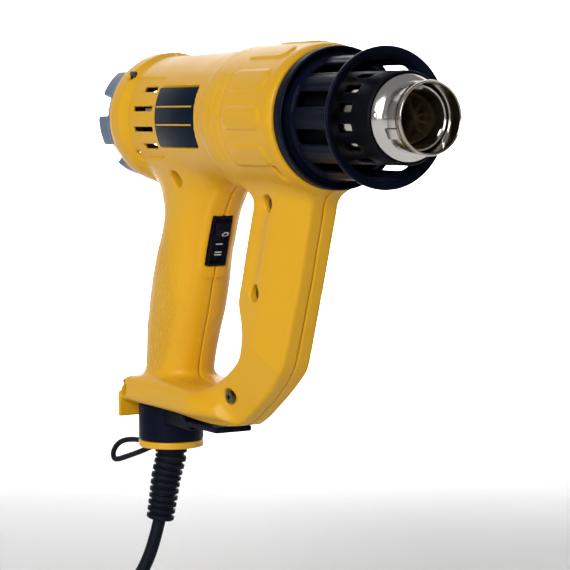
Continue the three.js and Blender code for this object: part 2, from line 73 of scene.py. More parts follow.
# ---------------------------------------------------------------- materials
class Graph:
    """A material's node tree, with the few nodes that these finishes are made of."""

    def __init__(self, name):
        self.material = bpy.data.materials.new(name)
        self.material.use_nodes = True
        self.tree = self.material.node_tree
        self.shader = self.tree.nodes["Principled BSDF"]
        self.coords = self.add("ShaderNodeTexCoord").outputs["Object"]

    def add(self, kind, **settings):
        node = self.tree.nodes.new(kind)
        for key, value in settings.items():
            setattr(node, key, value)
        return node

    def link(self, source, target):
        self.tree.links.new(source, target)

    def noise(self, scale, detail=3.0, rough=0.5, stretch=None):
        node = self.add("ShaderNodeTexNoise")
        node.inputs["Scale"].default_value = scale
        node.inputs["Detail"].default_value = detail
        node.inputs["Roughness"].default_value = rough
        source = self.coords
        if stretch:
            mapping = self.add("ShaderNodeMapping")
            mapping.inputs["Scale"].default_value = stretch
            self.link(source, mapping.inputs["Vector"])
            source = mapping.outputs["Vector"]
        self.link(source, node.inputs["Vector"])
        return node.outputs["Fac"]

    def spread(self, value, low, high, from_low=0.3, from_high=0.7):
        node = self.add("ShaderNodeMapRange")
        node.inputs["From Min"].default_value = from_low
        node.inputs["From Max"].default_value = from_high
        node.inputs["To Min"].default_value = low
        node.inputs["To Max"].default_value = high
        self.link(value, node.inputs["Value"])
        return node.outputs["Result"]

    def ramp(self, value, stops):
        node = self.add("ShaderNodeValToRGB")
        ramp = node.color_ramp
        for (at, color), element in zip(stops, ramp.elements):
            element.position, element.color = at, (*color, 1)
        for at, color in stops[2:]:
            ramp.elements.new(at).color = (*color, 1)
        self.link(value, node.inputs["Fac"])
        return node.outputs["Color"]

    def bump(self, height, strength, distance, after=None):
        node = self.add("ShaderNodeBump")
        node.inputs["Strength"].default_value = strength
        node.inputs["Distance"].default_value = distance
        self.link(height, node.inputs["Height"])
        if after is not None:
            self.link(after, node.inputs["Normal"])
        return node.outputs["Normal"]

    def math(self, operation, a, b=None):
        node = self.add("ShaderNodeMath", operation=operation)
        for socket, value in zip(node.inputs, (a, b)):
            if value is None:
                continue
            if isinstance(value, (int, float)):
                socket.default_value = value
            else:
                self.link(value, socket)
        return node.outputs[0]

    def attribute(self, name):
        return self.add("ShaderNodeAttribute", attribute_name=name).outputs["Fac"]


def moulded(name, dark, light, rough=(0.4, 0.5), grain=1400, depth=0.00004, specular=0.5):
    """Moulded plastic: a little colour drift, fine moulding texture and uneven gloss."""
    g = Graph(name)
    g.link(g.ramp(g.noise(18, 4), [(0.3, dark), (0.7, light)]), g.shader.inputs["Base Color"])
    g.link(g.spread(g.noise(90, 5), *rough), g.shader.inputs["Roughness"])
    g.link(g.bump(g.noise(grain, 2), 0.5, depth), g.shader.inputs["Normal"])
    g.shader.inputs["Specular IOR Level"].default_value = specular
    return g


YELLOW_DARK, YELLOW_LIGHT = (0.72, 0.378, 0.009), (0.77, 0.405, 0.013)
DIMPLE_PITCH = 2.1


def housing_material():
    """The yellow plastic, with the grip's dimples where the mesh's own attributes ask for them."""
    g = moulded("housing_yellow", YELLOW_DARK, YELLOW_LIGHT, (0.34, 0.44), 1500, 0.00003, 0.3)
    waves = [
        g.math("SINE", g.math("MULTIPLY", g.attribute(axis), math.tau / DIMPLE_PITCH))
        for axis in ("grip_along", "grip_round")
    ]
    dimple = g.math("MULTIPLY", g.math("MULTIPLY", *waves), g.attribute("grip_mask"))
    fine = g.shader.inputs["Normal"].links[0].from_socket
    g.link(g.bump(dimple, 0.8, 0.0003, fine), g.shader.inputs["Normal"])
    return g.material


def metal(name, dark, light, rough, grain_stretch, grain_depth=0.00001):
    """Turned or rolled metal: fine lines along one direction and a slow tint."""
    g = Graph(name)
    g.link(g.ramp(g.noise(30, 3), [(0.35, dark), (0.65, light)]), g.shader.inputs["Base Color"])
    g.link(g.spread(g.noise(60, 4), *rough), g.shader.inputs["Roughness"])
    g.link(g.bump(g.noise(300, 3, 0.6, grain_stretch), 0.25, grain_depth), g.shader.inputs["Normal"])
    g.shader.inputs["Metallic"].default_value = 1
    return g


def nozzle_material():
    """Polished steel that heat has tinted bronze towards its mouth, with a darker bronze deep inside the
    tube as painted shade.
    """
    g = metal("nozzle_steel", (0.6, 0.57, 0.54), (0.75, 0.72, 0.69), (0.1, 0.2), (9, 1, 1))
    split = g.add("ShaderNodeSeparateXYZ")
    g.link(g.coords, split.inputs["Vector"])
    drift = g.math("MULTIPLY", g.noise(40, 3), 0.012)
    along = g.math("ADD", split.outputs["X"], drift)
    # painted shade: the first, darkest stop colours the steel deep inside the tube as the shadow in its
    # depth; the last stop is the bronze tint at the mouth
    heat_tint_and_painted_shade = g.ramp(g.spread(along, 0, 1, 0.17, 0.235), [
        (0.0, (0.34, 0.26, 0.19)),
        (0.45, (0.74, 0.69, 0.63)),
        (0.72, (0.85, 0.83, 0.8)),
        (1.0, (0.5, 0.39, 0.27)),
    ])
    g.link(heat_tint_and_painted_shade, g.shader.inputs["Base Color"])
    return g.material


YELLOW = housing_material()
TRIM_YELLOW = moulded("trim_yellow", YELLOW_DARK, YELLOW_LIGHT, (0.35, 0.45)).material
BLACK = moulded(
    "black_plastic", (0.0025, 0.0045, 0.013), (0.0035, 0.006, 0.017), (0.36, 0.46), 1800, 0.00003, 0.06,
).material
SLEEVE_BLACK = moulded(
    "sleeve_black", (0.002, 0.0025, 0.005), (0.003, 0.004, 0.007), (0.4, 0.55), 1200, 0.00003, 0.1,
).material
SWITCH_BLACK = moulded(
    "switch_black", (0.003, 0.004, 0.011), (0.0045, 0.006, 0.016), (0.3, 0.4), 2200, 0.00002, 0.08,
).material
SLATE = moulded(
    "slate_plastic", (0.085, 0.13, 0.2), (0.11, 0.16, 0.24), (0.38, 0.5), 1500, 0.00003, 0.5,
).material
RUBBER = moulded(
    "black_rubber", (0.0045, 0.006, 0.013), (0.007, 0.0085, 0.017), (0.45, 0.6), 900, 0.00005, 0.1,
).material
LABEL = moulded(
    "label_navy", (0.003, 0.009, 0.02), (0.004, 0.011, 0.024), (0.3, 0.38), 2500, 0.00001, 0.06,
).material
MARK_WHITE = moulded("mark_white", (0.7, 0.72, 0.75), (0.8, 0.82, 0.85), (0.4, 0.5)).material
WHITE = moulded("white_plastic", (0.62, 0.62, 0.58), (0.7, 0.7, 0.66), (0.4, 0.55)).material
BOARD = moulded(
    "board_green", (0.012, 0.09, 0.035), (0.02, 0.13, 0.05), (0.25, 0.4), 700, 0.00008,
).material
MICA = moulded("mica", (0.42, 0.33, 0.2), (0.6, 0.5, 0.33), (0.5, 0.8), 400, 0.0001).material
NOZZLE = nozzle_material()
DARK_STEEL = metal("dark_steel", (0.1, 0.09, 0.08), (0.2, 0.18, 0.16), (0.25, 0.45), (1, 1, 8)).material
COPPER = metal("copper", (0.45, 0.2, 0.1), (0.6, 0.3, 0.16), (0.3, 0.45), (1, 6, 1)).material
PIN_STEEL = metal("plug_metal", (0.6, 0.56, 0.48), (0.75, 0.7, 0.62), (0.15, 0.3), (6, 1, 1)).material


# ---------------------------------------------------------------- meshes
def piece_from(name, points, faces, material, body, replaces=(), smooth_angle=None):
    """A mesh piece in place, riding on its body."""
    mesh = bpy.data.meshes.new(name)
    mesh.from_pydata(place(points).tolist(), [], [list(map(int, f)) for f in faces])
    mesh.validate()
    obj = bpy.data.objects.new(name, mesh)
    bpy.context.scene.collection.objects.link(obj)
    finish_piece(obj, material, body, replaces, smooth_angle)
    return obj


def loop_faces(rows, n):
    """Quads between rows of n points each, where the last row meets the first."""
    return [
        (i * n + k, (i + 1) % rows * n + k, (i + 1) % rows * n + (k + 1) % n, i * n + (k + 1) % n)
        for i in range(rows) for k in range(n)
    ]


def capped_faces(rows, n):
    """Quads between rows of n points each, and a face on each end."""
    faces = [
        (i * n + k, i * n + (k + 1) % n, (i + 1) * n + (k + 1) % n, (i + 1) * n + k)
        for i in range(rows - 1) for k in range(n)
    ]
    return [*faces, tuple(range(n))[::-1], tuple(range((rows - 1) * n, rows * n))]


def finish_piece(obj, material, body, replaces=(), smooth_angle=None):
    """Its material, its body, and the CAD nodes that it stands for."""
    obj.data.materials.append(material)
    if obj.type == "MESH":
        obj.data.shade_smooth()
        if smooth_angle is not None:
            obj.data.set_sharp_from_angle(angle=math.radians(smooth_angle))
    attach(obj, body)
    if replaces:
        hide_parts(*replaces)


def field_piece(g, field, name, material, body, node, smooth_angle=None):
    """The solid where a field on a grid is below zero, standing for one CAD node."""
    points, faces = g.solid(field)
    piece_from(name, points, faces, material, body, (node,), smooth_angle)


def curve_from(name, points, radius, material, body, resolution=6, replaces=()):
    """A round cord or rod along one smooth open spline."""
    data = bpy.data.curves.new(name, "CURVE")
    data.dimensions = "3D"
    data.bevel_depth = radius * MM
    data.bevel_resolution = 4
    data.resolution_u = resolution
    data.use_fill_caps = True
    spline = data.splines.new("NURBS")
    spline.points.add(len(points) - 1)
    for point, at in zip(spline.points, place(points)):
        point.co = (*at, 1)
    spline.order_u = 4
    spline.use_endpoint_u = True
    obj = bpy.data.objects.new(name, data)
    bpy.context.scene.collection.objects.link(obj)
    finish_piece(obj, material, body, replaces)
    return obj


def catmull(points, per_span):
    """A smooth line through the points."""
    p = np.asarray(points, float)
    p = np.vstack([2 * p[0] - p[1], p, 2 * p[-1] - p[-2]])
    t = np.linspace(0, 1, per_span, endpoint=False)[:, None]
    spans = []
    for a, b, c, d in zip(p, p[1:], p[2:], p[3:]):
        spans.append(0.5 * (2 * b + (c - a) * t + (2 * a - 5 * b + 4 * c - d) * t**2
                            + (3 * b - a - 3 * c + d) * t**3))
    return np.vstack([*spans, p[-2:-1]])


# ---------------------------------------------------------------- cord
CORD_R = 3.5
FLOOR = -290.0
COIL_X, COIL_Y, COIL_R = 12.0, -62.0, 38.5
TURN_PITCH = 7.15
COIL_START, COIL_CHANGE = 188, 90  # degrees where the winding begins, and where it changes turn
CORD_ROUTE = [
    (-22.1, -5.5, -213.9), (-22.6, -7.2, -221), (-23.9, -10.3, -232), (-26.2, -15, -243),
    (-29.3, -23, -253), (-32, -34, -260.6), (-33.4, -48, -263.9),
]
TAIL_ROUTE = [
    (57.6, -14, -286.4), (55, 3, -286), (46, 16, -284.6), (32, 22.6, -280.6), (22.4, 24, -277.1),
]
# The turns' places across the coil, as (column, layer) steps from its middle, in winding order.
TURNS = [(1, 1), (0, 1), (-1, 1), (-1, 0), (-1, -1), (0, -1), (0, 0), (1, 0), (1, -1)]


def coil_route():
    """Nine turns, counter-clockwise from above, from the top layer's outside to the floor's."""
    points = []
    for degrees in np.arange(COIL_START, 360 * len(TURNS), 20):
        turn = (degrees - COIL_CHANGE) / 360
        index = min(int(turn), len(TURNS) - 1)
        here, after = TURNS[index], TURNS[min(index + 1, len(TURNS) - 1)]
        shift = np.clip((turn - index - 0.84) / 0.16, 0, 1)
        shift = shift * shift * (3 - 2 * shift)
        column, layer = (a + (b - a) * shift for a, b in zip(here, after))
        angle = math.radians(degrees)
        radius = COIL_R + TURN_PITCH * column
        height = FLOOR + 10.8 + TURN_PITCH * layer
        height += max(0.0, 1 - (degrees - COIL_START) / 50) * 5
        points.append((COIL_X + radius * math.cos(angle), COIL_Y + radius * math.sin(angle), height))
    return points


def power_cord():
    route = catmull(CORD_ROUTE, 3).tolist() + coil_route() + catmull(TAIL_ROUTE, 3).tolist()
    return curve_from("power_lead", route, CORD_R, RUBBER, "housing", 4,
                      ("power_cord", "cord_coil", "cord_tail"))


# ---------------------------------------------------------------- floor and light
BACK = Vector((look.x, look.y, 0)).normalized()  # level, away from the camera
FLOOR_HALF_WIDTH = 4.0


def make_floor():
    """A plain pale floor that curves up into a backdrop far behind."""
    rise = [(x, 0.0) for x in (-3.0, -1.5, 0.0, 2.0)]
    rise += [(2.0 + math.sin(a) * 1.0, 1.0 - math.cos(a)) for a in np.linspace(0.1, math.pi / 2, 12)]
    rise.append((3.0, 3.5))
    side = Vector((BACK.y, -BACK.x, 0))
    points, faces = [], []
    for u, v in rise:
        for s in (-FLOOR_HALF_WIDTH, FLOOR_HALF_WIDTH):
            at = BACK * u + side * s
            points.append((at.x, at.y, v))
    for i in range(len(rise) - 1):
        faces.append((2 * i, 2 * i + 1, 2 * i + 3, 2 * i + 2))
    mesh = bpy.data.meshes.new("floor")
    mesh.from_pydata([(x, y, z + (FLOOR + AXIS_HEIGHT) * MM) for x, y, z in points], [], faces)
    mesh.shade_smooth()
    floor = bpy.data.objects.new("floor", mesh)
    bpy.context.scene.collection.objects.link(floor)
    g = Graph("floor_pale")
    shades = [(0.3, (0.86, 0.86, 0.86)), (0.7, (0.9, 0.9, 0.9))]
    g.link(g.ramp(g.noise(3, 2), shades), g.shader.inputs["Base Color"])
    g.shader.inputs["Roughness"].default_value = 0.8
    floor.data.materials.append(g.material)


def new_light(name, kind, power, direction):
    """A light that shines along a direction."""
    data = bpy.data.lights.new(name, kind)
    data.energy = power
    light = bpy.data.objects.new(name, data)
    bpy.context.scene.collection.objects.link(light)
    light.rotation_euler = direction.to_track_quat("-Z", "Y").to_euler()
    return light


def area_light(name, at, target, size, power, spread=180):
    light = new_light(name, "AREA", power, Vector(target) - Vector(at))
    light.location = at
    light.data.shape = "RECTANGLE"
    light.data.size, light.data.size_y = size
    light.data.spread = math.radians(spread)


make_floor()
world = bpy.data.worlds.new("studio")
bpy.context.scene.world = world
world.use_nodes = True
world.node_tree.nodes["Background"].inputs["Color"].default_value = (1, 1, 1, 1)
world.node_tree.nodes["Background"].inputs["Strength"].default_value = 0.2


def sun_light(name, azimuth, elevation, strength, softness):
    """Sunlight as a soft key: azimuth is measured from +X towards -Y."""
    a, e = math.radians(azimuth), math.radians(elevation)
    source = Vector((math.cos(a) * math.cos(e), -math.sin(a) * math.cos(e), math.sin(e)))
    new_light(name, "SUN", strength, -source).data.angle = math.radians(softness)


sun_light("key", 54, 22, 2.0, 35)
area_light("backdrop_wash", BACK * 2.0 + Vector((0, 0, 1.9)), BACK * 2.4 + Vector((0, 0, -0.2)),
           (1.8, 2.4), 75, 60)
area_light("back_sheen", BACK * 0.9 + Vector((0, 0, 0.75)), (0.05, 0, 0.03), (1.2, 0.4), 2.4)
area_light("nozzle_strip", (0.75, -0.95, 0.32), (0.11, 0, 0.09), (0.12, 0.5), 0.35, 90)


# ---------------------------------------------------------------- distance fields
def smooth_union(a, b, k):
    h = np.clip(0.5 + 0.5 * (b - a) / k, 0, 1)
    return b + (a - b) * h - k * h * (1 - h)


def smooth_cut(a, b, k):
    """a with b taken away, the edge rounded over k."""
    return -smooth_union(-a, b, k)


def smooth_both(a, b, k):
    return -smooth_union(-a, -b, k)


def slab(value, low, high):
    return np.abs(value - (low + high) / 2) - (high - low) / 2


def rounded(radius, *sides):
    """The solid inside every side, with its edges rounded."""
    grown = [side + radius for side in sides]
    outside = sum(np.maximum(side, 0) ** 2 for side in grown)
    deepest = grown[0]
    for side in grown[1:]:
        deepest = np.maximum(deepest, side)
    return np.sqrt(outside) + np.minimum(deepest, 0) - radius


def outline_field(outline, u, v):
    """Signed distance to a closed outline in its own plane, below zero inside."""
    nearest = np.full(np.broadcast(u, v).shape, 1e9)
    inside = np.zeros(nearest.shape, bool)
    for (au, av), (bu, bv) in zip(outline, [*outline[1:], outline[0]]):
        eu, ev = bu - au, bv - av
        share = np.clip(((u - au) * eu + (v - av) * ev) / (eu * eu + ev * ev + 1e-12), 0, 1)
        nearest = np.minimum(nearest, (u - au - share * eu) ** 2 + (v - av - share * ev) ** 2)
        if av != bv:
            crossing = (av > v) != (bv > v)
            inside ^= crossing & (u < au + eu * (v - av) / (bv - av))
    distance = np.sqrt(nearest)
    return np.where(inside, -distance, distance)


def turned_field(profile, x, radius):
    """A closed [along, radius] profile turned about the X axis, from a table over both."""
    step = 0.25
    table_r = np.arange(0, radius.max() + 2 * step, step)
    mirrored = list(profile) + [(along, -r) for along, r in reversed(profile) if r > 0]
    table = outline_field(mirrored, x.reshape(-1, 1), table_r.reshape(1, -1))
    place_r = radius / step
    low = place_r.astype(int)
    share = place_r - low
    return table[:, low] * (1 - share) + table[:, low + 1] * share


def net(values, wrap=False):
    """A surface net round the cells where the field changes sign: points in grid steps, and quads.
    With wrap, the last axis goes round and meets its own start."""
    if wrap:
        values = np.concatenate([values, values[..., :1]], axis=2)
    inside = values < 0
    corners = [(a, b, c) for a in (0, 1) for b in (0, 1) for c in (0, 1)]
    na, nb, nc = (n - 1 for n in values.shape)

    def shifted(array, a, b, c):
        return array[a:na + a, b:nb + b, c:nc + c]

    count = sum(shifted(inside, *corner).astype(np.uint8) for corner in corners)
    cells = np.argwhere((count > 0) & (count < 8))
    index = np.full((na, nb, nc), -1, np.int64)
    index[tuple(cells.T)] = np.arange(len(cells))
    total, crossings = np.zeros((len(cells), 3)), np.zeros((len(cells), 1))
    for start in corners:
        for axis in range(3):
            if start[axis]:
                continue
            end = tuple(s + (i == axis) for i, s in enumerate(start))
            first = values[tuple((cells + start).T)]
            last = values[tuple((cells + end).T)]
            crosses = (first < 0) != (last < 0)
            share = np.where(crosses, first / np.where(crosses, first - last, 1), 0)
            at = cells + start + share[:, None] * np.eye(3)[axis]
            total += at * crosses[:, None]
            crossings += crosses[:, None]
    points = total / crossings
    quads = []
    around_cells = np.concatenate([index[..., -1:], index], axis=2) if wrap else index
    for axis in range(3):
        one, two = (i for i in range(3) if i != axis)
        lead = np.moveaxis(inside, axis, 0)
        change = lead[:-1] != lead[1:]
        found = np.argwhere(change)
        nodes = np.zeros((len(found), 3), np.int64)
        nodes[:, axis], nodes[:, one], nodes[:, two] = found.T
        keep = np.ones(len(nodes), bool)
        for other in (one, two):
            keep &= (nodes[:, other] < values.shape[other] - 1)
            if not (wrap and other == 2):
                keep &= nodes[:, other] > 0
        nodes = nodes[keep]
        filled_first = inside[tuple(nodes.T)]
        ring = []
        for back_one, back_two in ((1, 1), (0, 1), (0, 0), (1, 0)):
            cell = nodes.copy()
            cell[:, one] -= back_one
            cell[:, two] -= back_two
            if wrap:
                cell[:, 2] += 1
            ring.append(around_cells[tuple(cell.T)])
        quad = np.stack(ring, 1)
        flip = filled_first if axis == 1 else ~filled_first
        quad[flip] = quad[flip][:, ::-1]
        quads.append(quad)
    return points, np.concatenate(quads)


class Grid:
    """An even grid of points over a box, in millimetres, that a field is sampled on."""

    def __init__(self, low, high, step):
        self.low, self.step = np.array(low, float), step
        sizes = [int(math.ceil((b - a) / step)) + 1 for a, b in zip(low, high)]
        axes = [a + step * np.arange(n) for a, n in zip(low, sizes)]
        self.x, self.y, self.z = np.meshgrid(*axes, indexing="ij", sparse=True)
        self.radius = np.sqrt(self.y**2 + self.z**2)
        self.angle = np.arctan2(self.z, self.y)

    def solid(self, field):
        points, quads = net(np.broadcast_to(field, np.broadcast(self.x, self.y, self.z).shape))
        return self.low + points * self.step, quads

    def turned(self, profile):
        return turned_field(profile, self.x, self.radius[0])


class RoundGrid:
    """A grid of x, radius and angle about the X axis, so that turned shapes keep true edges."""

    def __init__(self, x_range, r_range, step, count):
        self.low, self.step, self.count = (x_range[0], r_range[0]), step, count
        x = np.arange(x_range[0], x_range[1] + step, step)
        r = np.arange(r_range[0], r_range[1] + step, step)
        angle = np.arange(count) * math.tau / count
        self.x, self.radius, self.angle = np.meshgrid(x, r, angle, indexing="ij", sparse=True)

    def turned(self, profile):
        return outline_field(profile, self.x, self.radius)

    def from_nearest(self, count, first=90.0):
        """Distance round the axis from the nearest of several even directions, signed."""
        pitch = math.tau / count
        away = (self.angle - math.radians(first) + pitch / 2) % pitch - pitch / 2
        return away * self.radius

    def solid(self, field):
        shape = np.broadcast(self.x, self.radius, self.angle).shape
        points, quads = net(np.broadcast_to(field, shape), wrap=True)
        x = self.low[0] + points[:, 0] * self.step
        r = self.low[1] + points[:, 1] * self.step
        angle = points[:, 2] * math.tau / self.count
        return np.stack([x, r * np.cos(angle), r * np.sin(angle)], 1), quads


# ---------------------------------------------------------------- housing
HOUSING_STEP = 0.75
GRIP_SECTIONS = np.array([
    (-10, 20, 38, 22), (-28, 20.3, 33, 20), (-38, 18.8, 27.8, 18.5), (-48, 16.8, 22.8, 17.4),
    (-58, 13.6, 21.8, 17.3), (-70, 8.4, 22.8, 17.4), (-84, 4.2, 23.3, 18), (-98, 0.2, 23.1, 17.8),
    (-110, -3.8, 22.3, 17.2), (-122, -6.6, 21.1, 16.4), (-132, -8.2, 20.6, 16.2), (-142, -8.6, 21, 16.4),
], float)
BARREL_PROFILE = [
    (-24, 0), (-24, 31.5), (-22, 33.6), (-19, 34.2), (-11, 34.2), (-7, 32), (30, 32.5), (65, 33.1),
    (75, 33.4), (80, 35.2), (138, 35.2), (141, 34.6), (142.5, 33.6), (142.5, 0),
]
BORE_PROFILE = [(-30, 0), (-30, 29.5), (64, 29.8), (78, 31.6), (150, 31.6), (150, 0)]
BOW_OUTLINE = [
    (60, -10), (132, -10), (135.5, -32), (133.9, -45), (129.2, -60), (124.8, -75), (119.6, -90),
    (114.5, -105), (111.9, -112), (108.3, -120), (101.2, -128), (92.5, -135.3), (83.3, -141.8),
    (74, -148), (65, -152), (52, -153.6), (40, -153), (10, -149), (8, -137), (30, -137), (42, -135.4),
    (54, -131.8), (61.6, -128), (69.2, -123.3), (75.6, -118.4), (78.4, -114), (79.8, -108),
    (79.9, -102), (77.7, -93.5), (77.2, -88), (80.8, -76.6), (85.3, -61.5), (90, -47), (91.5, -40),
    (84, -33), (72, -30),
]
BOW_ROUND = 4.0
BOW_HALF_WIDTH = 15.0
BOW_FACE = 7.5  # half width of the bar's front face, between its two slanting sides
BOW_REACH = 20.0  # how far back from the front edge the slanting sides begin
# The lines of the bar's front edge and of its lower corner, each from its high end to its low end.
BOW_EDGES = [((133.9, -45), (111.9, -112)), ((101.2, -128), (65, -152))]
BASE_OUTLINE = [
    (-38, -149.8), (-38, -143), (-36, -138.2), (-30, -136), (-10, -135.2), (20, -135.6), (44, -138),
    (58, -142), (62, -149.8),
]
BASE_HALF_WIDTH = 22.0
VENTS = [(6, 14.2), (-0.5, 4.6), (-0.5, -5.6), (6, -14.2)]  # rear end and height
SCREWS = [  # x, z, half width of the housing there, depth of the counterbore
    (26, -30.5, 19, 9), (106.9, -40.5, 15, 6), (94.2, -84, 15, 6),
    (66, -137.5, 16, 6), (-32.4, -143, 22, 9), (-11.5, 21, 26, 3),
]
WALL = 2.6
SWITCH_TILT = 0.3
SWITCH_X, SWITCH_Z = 34.2, -62.0


def smooth_outline(points, per_span=5):
    closed = [*points[-2:], *points, *points[:2]]
    return catmull(closed, per_span)[2 * per_span:-2 * per_span - 1].tolist()


def along_grip(z, column):
    """A dimension of the grip's sections at each height, smoothly between them."""
    table = catmull(GRIP_SECTIONS[:, [0, column]], 6)
    return np.interp(z, table[::-1, 0], table[::-1, 1])


def grip_field(x, y, z):
    """The grip's own surface, its sections a little squarer than ellipses."""
    centre, depth, width = (along_grip(z, column) for column in (1, 2, 3))
    u, v = np.abs(x - centre) + 1e-3, np.abs(y) + 1e-3
    power = 2.33
    size = ((u / depth) ** power + (v / width) ** power) ** (1 / power)
    away = np.sqrt(u * u + v * v) * (1 - 1 / size)
    return np.maximum(away, slab(z, -142, -10))


def in_switch(x, z):
    """Across and along the switch's own tilted face: [out of the grip, up the grip]."""
    dx, dz = x - SWITCH_X, z - SWITCH_Z
    out = dx * math.cos(SWITCH_TILT) - dz * math.sin(SWITCH_TILT)
    up = dx * math.sin(SWITCH_TILT) + dz * math.cos(SWITCH_TILT)
    return out, up


INNER_EDGE = np.array(BOW_OUTLINE[26:34])  # the front bar's edge beside the fingers, upwards


def beside_bow(x, y, z):
    """Distance outside the front bar's slanting sides, which narrow it towards its edges."""
    slope = (BOW_HALF_WIDTH - BOW_FACE) / BOW_REACH
    outside = -1e3
    for (high_x, high_z), (low_x, low_z) in BOW_EDGES:
        lean = math.atan2(high_x - low_x, high_z - low_z)
        back = (low_x - x) * math.cos(lean) + (z - low_z) * math.sin(lean)
        side = (np.abs(y) - BOW_FACE - slope * back) * math.cos(math.atan(slope))
        outside = np.maximum(outside, side)
    return outside


def base_width(x):
    """The base's half width, narrowing smoothly to meet the front bar."""
    share = np.clip((x - 36) / 34, 0, 1)
    return BASE_HALF_WIDTH - 7.5 * share * share * (3 - 2 * share)


def housing_outside(g):
    """The housing's outside, and the grip's own surface within it."""
    x, y, z = g.x, g.y, g.z
    bow_edge = outline_field(smooth_outline(BOW_OUTLINE), x, z)
    grip = grip_field(x, y, z)
    bow = rounded(BOW_ROUND, bow_edge, np.abs(y) - BOW_HALF_WIDTH)
    bow = smooth_both(bow, beside_bow(x, y, z), 1.6)
    from_inner = x - np.interp(z, INNER_EDGE[:, 1], INNER_EDGE[:, 0])
    valley = 2.2 * (np.sqrt(((from_inner - 12.5) / 4.5) ** 2 + ((np.abs(y) - 15.6) / 2.0) ** 2) - 1)
    bow = smooth_cut(bow, smooth_both(valley, slab(z, -84, -38), 3.0), 1.5)
    base = rounded(4.5, outline_field(BASE_OUTLINE, x, z), np.abs(y) - base_width(x))
    skirt = rounded(0.8, slab(x, -38, -36), slab(y, -22, 22), slab(z, -158.7, -145))
    body = smooth_union(g.turned(BARREL_PROFILE), grip, 9)
    body = smooth_union(body, bow, 7)
    body = smooth_union(body, base, 6)
    return smooth_union(body, skirt, 1.0), grip


def barrel_details(g, body):
    """Ribs, grooves, slanted notches and the vents' shallow panel."""
    x, z, r = g.x, g.z, g.radius
    pitch = math.pi / 6
    round_rib = ((g.angle + pitch / 2) % pitch - pitch / 2) * 35
    rib = rounded(4.8, slab(x, 101, 134), slab(round_rib, -5.2, 5.2))
    body = smooth_union(body, rounded(0.7, rib, slab(r, 30, 36.2), -z - 27 + 0 * x), 0.9)
    for at in (89.5, 96.5):
        groove = np.sqrt((x - at - 0.005 * z * z) ** 2 + (r - 35.7) ** 2) - 1.15
        body = smooth_cut(body, np.maximum(groove, slab(np.abs(z), 1.4, 21)), 0.5)
    panel = rounded(2.5, slab(x, -5.8, 26.2), slab(z, -20, 20))
    body = smooth_cut(body, np.maximum(panel, 31.4 - r), 0.8)
    for at, lean, low_angle, length, depth in ((-3.6, 0.15, 42, 5.2, 30.6), (134.2, 0.1, 47, 4.4, 32.6)):
        down = np.abs(g.angle + math.pi / 2)
        across = (math.pi / 2 - down - math.radians(low_angle)) * 33
        notch = rounded(1.4, slab(x - at - lean * across, -2, 2), slab(across, -length, length))
        body = smooth_cut(body, np.maximum(notch, depth + 0.25 * across - r), 0.8)
    return body


def housing_holes(g, body, counterbored):
    """Vents, label pocket, switch window, swivel hole and screw recesses."""
    x, y, z, r = g.x, g.y, g.z, g.radius
    for start, height in VENTS:
        vent = rounded(0.6, slab(x, start, 20.5), slab(z, height - 1.15, height + 1.15))
        body = smooth_cut(body, np.maximum(vent, 18 - np.abs(y)), 0.4)
    pocket = rounded(1.2, slab(x, 26.4, 67.2), slab(z, -14.7, 15.5))
    body = smooth_cut(body, np.maximum(pocket, 31.5 - r), 0.3)
    out, up = in_switch(x, z)
    window = rounded(0.6, slab(out, -30, 12), slab(up, -13.7, 13.7), slab(y, -5.8, 5.8))
    body = smooth_cut(body, window, 0.4)
    exit_hole = np.maximum(np.sqrt((x + 18.5) ** 2 + y * y) - 8, slab(z, -160, -140))
    body = np.maximum(body, -exit_hole)
    for at_x, at_z, reach, depth in SCREWS if counterbored else ():
        away = np.sqrt((x - at_x) ** 2 + (z - at_z) ** 2)
        width = 4.2 if at_z < 0 else 1.9
        body = smooth_cut(body, np.maximum(away - width, y + reach - depth), 0.8)
    return body


# At these heights the grip's dimples reach this far round from its back, in radians.
DIMPLES_REACH = ((-133, -118, -98, -82, -66), (2.0, 2.24, 2.35, 2.07, 1.7))
GRIP_RADIUS = 20.5


def mark_dimples(mesh, points):
    """Where the grip is dimpled, and how far along and round it each place there is."""
    x, y, z = points.T
    centre, depth, width = (along_grip(z, column) for column in (1, 2, 3))
    angle = np.arctan2(np.abs(y) / width, (centre - x) / depth)
    reach = np.interp(z, *DIMPLES_REACH)
    zone = np.minimum(np.clip((-60 - z) / 3, 0, 1), np.clip((z + 133) / 3, 0, 1))
    zone *= np.clip((reach - angle) / 0.15, 0, 1) * np.clip((32 + centre - x) / 2, 0, 1)
    for name, values in (("grip_along", z), ("grip_round", angle * GRIP_RADIUS), ("grip_mask", zone)):
        layer = mesh.attributes.new(name, "FLOAT", "POINT")
        layer.data.foreach_set("value", np.ascontiguousarray(values, np.float32))


HALF_GRID = ((-40, -37, -161), (145, 1.2, 37.5))


